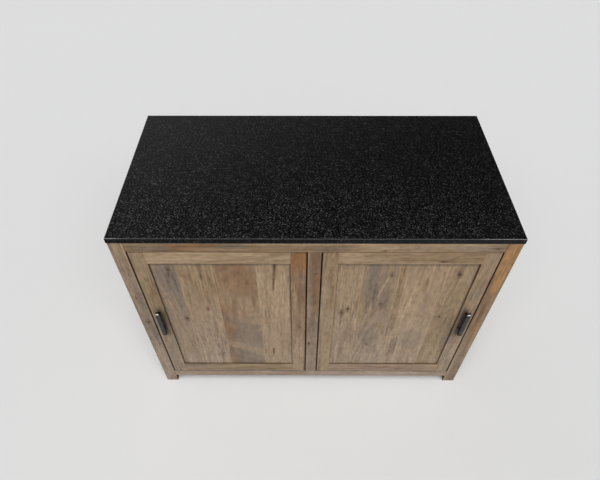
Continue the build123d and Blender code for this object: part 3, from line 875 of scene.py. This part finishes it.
# Each board of a panel: its far limit across the panel, in millimetres, and its wood.
LEFT_PANEL = [
    (-426, Wood(
        "tan", "pink", seed=120, pith=40, taper=0.03, greying=0.5, figure=1.4, ash=0.5, light=0.97,
        knots=[(-449, 746, 8), (-453, 724, 5), (-436, 470, 9)],
        patches=[(-455, 690, 46, 120, "grey", 0.9), (-438, 540, 22, 110, "grey", 0.6),
                 (-445, 690, 40, 90, "dark", 0.10), (-470, 260, 26, 60, "olive", 0.4)],
        lines=[(-484, 610, -0.16, 6, "pale", 0.5, 90), (-462, 640, -0.12, 4, "pale", 0.35, 120),
               (-470, 560, -0.25, 5, "dark", 0.25, 60)],
    )),
    (-313, Wood(
        "olive", "tan", seed=121, pith=70, taper=0.10, ash=0.6, light=1.02, knots=[(-356, 529, 8)],
        patches=[(-404, 718, 18, 34, "brown", 0.75), (-350, 330, 40, 170, "pink", 0.5),
                 (-335, 650, 22, 90, "brown", 0.35), (-328, 420, 8, 40, "pale", 0.7)],
    )),
    (-180, Wood(
        "tan", "brown", seed=122, taper=0.0, figure=0.8, grain=0.5, heart=(-212, 575, 1.4),
        patches=[(-245, 700, 66, 90, "brown", 0.85), (-242, 270, 80, 170, "grey", 0.80),
                 (-200, 450, 40, 60, "tan", 0.6)],
        lines=[(-306, 715, -0.03, 5, "pale", 0.5, 70), (-242, 262, -1.5, 60, "pale", 0.42, 90),
               (-242, 350, -1.3, 60, "dark", 0.12, 110), (-242, 425, -1.0, 50, "grey", 0.5, 110),
               (-242, 180, -1.6, 40, "dark", 0.12, 80)],
    )),
    (None, Wood(
        "pale", "tan", seed=123, pith=120, taper=0.01, figure=0.7, greying=0.25, ash=0.4, light=0.98,
        patches=[(-130, 320, 46, 150, "tan", 0.9)],
        cracks=[(-127, -121, 690, 777, 2.8), (-131, -127, 632, 700, 1.3), (-145, -142, 208, 262, 1.7)],
    )),
]

RIGHT_PANEL = [
    (154, Wood(
        "pale", "tan", seed=130, pith=80, taper=0.03, greying=0.3, light=0.95, ash=0.6,
        knots=[(119, 531, 10), (98, 511, 8)],
        patches=[(112, 690, 40, 110, "tan", 0.6), (110, 330, 30, 90, "pink", 0.35)],
    )),
    (266, Wood(
        "pink", "olive", seed=131, pith=45, taper=0.14, figure=0.8, greying=0.45, ash=0.6,
        knots=[(243, 719, 7), (225, 563, 7), (208, 293, 8)],
        patches=[(200, 680, 40, 110, "grey", 0.6), (172, 690, 18, 110, "grey", 0.6),
                 (203, 350, 26, 60, "grey", 0.6), (240, 600, 16, 60, "grey", 0.5)],
        lines=[(224, 655, 0.24, 5, "pale", 0.85, 75), (238, 640, 0.3, 4, "dark", 0.25, 60),
               (200, 620, 0.3, 6, "dark", 0.2, 90)],
    )),
    (415, Wood(
        "pale", "tan", seed=132, pith=90, taper=0.03, ash=0.5, light=0.98,
        patches=[(274, 735, 9, 45, "orange", 0.35), (358, 668, 7, 34, "brown", 0.6),
                 (362, 330, 45, 70, "grey", 0.45)],
    )),
    (None, Wood(
        "tan", "olive", seed=133, pith=70, taper=0.08, ash=0.5, knots=[(452, 725, 9), (440, 484, 9)],
        patches=[(450, 300, 44, 140, "olive", 0.8), (448, 146, 40, 20, "olive", 0.8),
                 (490, 320, 18, 40, "grey", 0.5)],
    )),
]

DOOR_TIMBERS = {
    "left_door_hinge_stile": Wood(
        "brown", "tan", seed=140, gaps="+", light=0.95, ash=0.5,
        patches=[(-46, 800, 24, 45, "orange", 0.8), (-50, 680, 16, 90, "brown", 0.7),
                 (-30, 380, 5, 130, "orange", 0.5), (-54, 220, 22, 150, "pale", 0.6)],
    ),
    "left_door_handle_stile": Wood(
        "tan", "olive", seed=141, gaps="-", rims="+", light=0.95, ash=0.4,
        patches=[(-508, 620, 6, 90, "brown", 0.6), (-530, 200, 24, 180, "grey", 0.4)],
        # The two dark lines beside the pull are its painted shadow on the stile.
        lines=[(-509, 452, 0, 24, "dark", 0.42, 116), (-522, 452, 0, 13, "dark", 0.85, 104)],
    ),
    "left_door_top_rail": Wood(
        "pale", "tan", seed=142, greying=0.1, light=1.09, **LEVEL,
        patches=[(824, -350, 8, 150, "olive", 0.5)],
    ),
    "left_door_bottom_rail": Wood(
        "olive", "tan", seed=143, rims="+", light=0.88, **LEVEL,
        patches=[(118, -430, 30, 80, "grey", 0.5), (98, -250, 8, 100, "grey", 0.6)],
    ),
    "right_door_hinge_stile": Wood(
        "olive", "tan", seed=144, gaps="-", ash=0.2, light=0.98,
        patches=[(60, 610, 8, 170, "brown", 0.5), (56, 230, 18, 150, "tan", 0.7)],
    ),
    "right_door_handle_stile": Wood(
        "tan", "olive", seed=145, gaps="+", rims="-", ash=0.6, light=1.02,
        patches=[(530, 640, 22, 50, "grey", 0.5), (512, 330, 14, 30, "grey", 0.7)],
        # The two dark lines beside the pull are its painted shadow on the stile.
        lines=[(509, 452, 0, 24, "dark", 0.45, 116), (522, 452, 0, 13, "dark", 0.9, 104)],
    ),
    "right_door_top_rail": Wood(
        "olive", "tan", seed=146, **LEVEL, knots=[(797, 385, 7)],
        patches=[(815, 110, 26, 40, "pale", 0.8), (818, 300, 16, 130, "brown", 0.3)],
        lines=[(814, 425, 0.5, 6, "dark", 0.25, 30)],
    ),
    "right_door_bottom_rail": Wood("pink", "tan", seed=147, rims="+", light=0.98, **LEVEL),
}


class CABINET_OT_doors(CabinetOperator):
    """The doors' frames, and their panels of four glued boards"""

    bl_idname = "cabinet.doors"
    bl_label = "Doors"

    def execute(self, context):
        dress_timbers(DOOR_TIMBERS)
        glue_up("left_door_panel", "left_door", LEFT_PANEL, DOOR_PITCH)
        glue_up("right_door_panel", "right_door", RIGHT_PANEL, DOOR_PITCH, low_side_shift=4 * MM)
        return {"FINISHED"}


# Metal and mouldings

def metal_finish(name, colour, roughness, spread, relief):
    """Plated metal with small differences in its gloss and fine marks."""
    finish = Finish(name)
    cloud = finish.noise((45.0,) * 3, (2, 5, 1), 3.0)
    marks = finish.noise((900.0, 900.0, 120.0), (7, 3, 4))
    tint = finish.shade(finish.mix(cloud, colour, darkened(colour, 0.8)), 0.8 + marks * 0.4)
    return finish.close(
        Base_Color=tint,
        Metallic=1.0,
        Roughness=roughness + (cloud - 0.5) * spread + (marks - 0.5) * spread,
        Specular_IOR_Level=0.5,
        Normal=finish.bump(cloud * 0.5 + marks, 0.4, relief),
    )


def iron_finish(name, box, metal):
    """Blackened iron, rubbed bright where hands and rings catch the bar's outer edges, with a painted
    glint of bare metal at the bar's ends.
    """
    finish = Finish(name)
    place = finish.axes()
    low, high = box
    cloud = finish.noise((60.0, 60.0, 35.0), (2, 5, 1), 3.0)
    dimples = finish.noise((420.0,) * 3, (7, 3, 4))
    side = (place["X"] - low[0]).least(high[0] - place["X"])
    end = (place["Z"] - low[2]).least(high[2] - place["Z"])
    out = place["Y"] - low[1]
    edge = (side + out).between(2.6 * MM, 1.0 * MM)
    # At each end a bright bare patch, narrower than the bar: a painted glint.
    glint_tip = (end + out).between(4.6 * MM, 3.2 * MM) * side.between(1.5 * MM, 4.0 * MM)
    rubbed_edge = edge * (cloud.between(0.45, 0.75) * 0.35 + 0.05)
    rubbed_and_glint = rubbed_edge.most(glint_tip * (0.70 + cloud * 0.6)).least(1.0)
    blacking = finish.mix(cloud, metal.iron, darkened(metal.iron, 0.6))
    return finish.close(
        Base_Color=finish.mix(rubbed_and_glint, finish.shade(blacking, 0.7 + dimples * 0.6), metal.rubbed_and_glint),
        Metallic=rubbed_and_glint,
        Roughness=0.27 + (cloud - 0.5) * 0.12 + (dimples - 0.5) * 0.08,
        Specular_IOR_Level=0.12,
        Coat_Weight=out.between(2.2 * MM, 0.2 * MM) * 0.50,
        Coat_Roughness=0.30,
        Normal=finish.bump(cloud * 0.4 + dimples, 0.5, 0.10 * MM),
    )


class CABINET_OT_handles(CabinetOperator):
    """Blackened iron pulls"""

    bl_idname = "cabinet.handles"
    bl_label = "Handles"

    def execute(self, context):
        for side in ("left", "right"):
            name = side + "_handle"
            put_on(name, iron_finish(name + "_iron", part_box(name), looks().metal))
        return {"FINISHED"}


class CABINET_OT_fittings(CabinetOperator):
    """Zinc on the hinge leaves, screws, strikes and pegs"""

    bl_idname = "cabinet.fittings"
    bl_label = "Hinges, screws and pegs"

    def execute(self, context):
        zinc = metal_finish("zinc_plated_steel", looks().metal.zinc, 0.34, 0.12, 0.03 * MM)
        for side in ("left", "right"):
            for end in ("top", "bottom"):
                put_on(f"{side}_{end}_pivot_pin_leaf", zinc)
                put_on(f"{side}_{end}_pivot_door_leaf", zinc)
            for name in ("handle_screws", "door_hinge_screws", "catch_strike"):
                put_on(f"{side}_{name}", zinc)
        for name in ("frame_hinge_screws", "catch_screws", "shelf_pegs"):
            put_on(name, zinc)
        return {"FINISHED"}


def moulded_finish(name, colour, roughness, relief):
    """Moulded plastic or silicone with a fine skin texture."""
    finish = Finish(name)
    skin = finish.noise((2600.0,) * 3, (1, 6, 2), 1.0)
    cloud = finish.noise((30.0,) * 3, (8, 2, 5))
    return finish.close(
        Base_Color=finish.shade(finish.mix(cloud, colour, darkened(colour, 0.86)), 0.9 + skin * 0.2),
        Roughness=roughness + (skin - 0.5) * 0.1,
        Normal=finish.bump(skin, 0.35, relief),
    )


class CABINET_OT_mouldings(CabinetOperator):
    """Catches, washers, glides and pads"""

    bl_idname = "cabinet.mouldings"
    bl_label = "Catches, washers, glides and pads"

    def execute(self, context):
        metal = looks().metal
        catch = moulded_finish("catch_plastic", metal.moulding, 0.5, 0.05 * MM)
        for side in ("left", "right"):
            put_on(side + "_magnetic_catch", catch)
        put_on("pivot_washers", moulded_finish("washer_nylon", metal.nylon, 0.4, 0.02 * MM))
        put_on("foot_glides", moulded_finish("glide_nylon", metal.glide, 0.5, 0.05 * MM))
        put_on("worktop_pads", moulded_finish("clear_silicone", metal.silicone, 0.3, 0.02 * MM))
        return {"FINISHED"}


# Stage

# The photo's camera, in metres and radians, with its lens and sensor in millimetres.
CAMERA_PLACE = Vector((-0.04303, -1.20065, 1.93526))
CAMERA_YAW = -0.0055
CAMERA_DIP = 0.8394
CAMERA_ROLL = -0.0023
CAMERA_LENS = 29.278
CAMERA_SENSOR = 36.0
CAMERA_SHIFT = (0.0027, -0.0095)
LAMP_DISTANCE = 4.0
FLOOR_HALF_WIDTH = 30.0


def sun(name, azimuth, elevation, breadth, share):
    """A far, broad lamp: a share of 1 shows a surface that faces it in its own colour.

    The azimuth turns from the front to the right, and all three angles are in degrees.
    """
    lamp = bpy.data.lights.new(name, "SUN")
    lamp.energy = math.pi * share
    lamp.angle = math.radians(breadth)
    piece = add_piece(name, lamp)
    a, e = math.radians(azimuth), math.radians(elevation)
    towards = Vector((math.sin(a) * math.cos(e), -math.cos(a) * math.cos(e), math.sin(e)))
    piece.location = towards * LAMP_DISTANCE
    piece.rotation_euler = towards.to_track_quat("Z", "Y").to_euler()


def studio_world(stage):
    """Pale walls, and a dim ceiling that is paler towards the back left, where the stone reflects it."""
    sky = Finish("studio", bpy.data.worlds.new("studio"), "Generated")
    way = sky.axes()
    height = way["Z"] + way["X"] * way["Y"].most(0.0) * 0.6
    colour = sky.mix(height.between(0.27, 0.77), stage.backdrop, stage.ceiling)
    light = sky.node("ShaderNodeBackground", {}, {"Color": colour, "Strength": 1.0})
    sky.node("ShaderNodeOutputWorld", {}, {"Surface": light})
    bpy.context.scene.world = sky.material


def studio_floor(stage):
    """A wide pale floor with the faintest mottling."""
    shape = bmesh.new()
    bmesh.ops.create_grid(shape, x_segments=8, y_segments=8, size=FLOOR_HALF_WIDTH)
    floor = finished_piece("studio_floor", shape)
    finish = Finish("studio_floor")
    colour = finish.mix(finish.noise((6.0,) * 3), stage.floor, darkened(stage.floor, 0.985))
    floor.data.materials.append(finish.close(Base_Color=colour, Roughness=0.9, Specular_IOR_Level=0.1))


def photo_camera():
    """A camera that stands where the photo's stood."""
    lens = bpy.data.cameras.new("photo_camera")
    lens.lens, lens.sensor_width, lens.sensor_fit = CAMERA_LENS, CAMERA_SENSOR, "HORIZONTAL"
    lens.shift_x, lens.shift_y = CAMERA_SHIFT
    lens.clip_start, lens.clip_end = 0.01, 200.0
    camera = add_piece("photo_camera", lens)
    yaw, dip, roll = CAMERA_YAW, CAMERA_DIP, CAMERA_ROLL
    ahead = Vector((math.sin(yaw) * math.cos(dip), math.cos(yaw) * math.cos(dip), -math.sin(dip)))
    level = Vector((math.cos(yaw), -math.sin(yaw), 0.0))
    above = level.cross(ahead)
    right = level * math.cos(roll) + above * math.sin(roll)
    up = above * math.cos(roll) - level * math.sin(roll)
    turn = Matrix((right, up, -ahead)).transposed().to_4x4()
    camera.matrix_world = Matrix.Translation(CAMERA_PLACE) @ turn
    return camera


class CABINET_OT_stage(CabinetOperator):
    """Floor, studio walls, lamps and the camera"""

    bl_idname = "cabinet.stage"
    bl_label = "Stage"

    def execute(self, context):
        stage = looks().stage
        studio_floor(stage)
        studio_world(stage)
        sun("key_lamp", 0.0, 72.0, 34.0, stage.key)
        sun("left_lamp", -37.0, 46.0, 22.0, stage.side)
        sun("right_lamp", 37.0, 46.0, 22.0, stage.side)
        context.scene.camera = photo_camera()
        context.scene.view_settings.view_transform = "Standard"
        return {"FINISHED"}


OPERATORS = (
    CABINET_OT_worktop,
    CABINET_OT_carcase,
    CABINET_OT_sides_and_back,
    CABINET_OT_inside,
    CABINET_OT_doors,
    CABINET_OT_handles,
    CABINET_OT_fittings,
    CABINET_OT_mouldings,
    CABINET_OT_stage,
)


class CABINET_PT_sidebar(bpy.types.Panel):
    """The cabinet's operators and its settings"""

    bl_idname = "CABINET_PT_sidebar"
    bl_label = "Base Cabinet"
    bl_space_type = "VIEW_3D"
    bl_region_type = "UI"
    bl_category = "Cabinet"

    def draw(self, context):
        for group in (looks().wood, looks().stone, looks().metal, looks().stage):
            column = self.layout.column(align=True)
            for name in group.bl_rna.properties.keys():
                if name not in ("rna_type", "name"):
                    column.prop(group, name)
        for operator in OPERATORS:
            self.layout.operator(operator.bl_idname)


CLASSES = (WoodLooks, StoneLooks, MetalLooks, StageLooks, CabinetLooks, *OPERATORS, CABINET_PT_sidebar)


def register():
    for made in CLASSES:
        bpy.utils.register_class(made)
    bpy.types.Scene.cabinet_looks = PointerProperty(type=CabinetLooks)


def unregister():
    del bpy.types.Scene.cabinet_looks
    for made in reversed(CLASSES):
        bpy.utils.unregister_class(made)


def main():
    register()
    bpy.ops.cabinet.stage()
    bpy.ops.cabinet.worktop()
    bpy.ops.cabinet.carcase()
    bpy.ops.cabinet.sides_and_back()
    bpy.ops.cabinet.inside()
    bpy.ops.cabinet.doors()
    bpy.ops.cabinet.handles()
    bpy.ops.cabinet.fittings()
    bpy.ops.cabinet.mouldings()


if __name__ == "__main__":
    main()
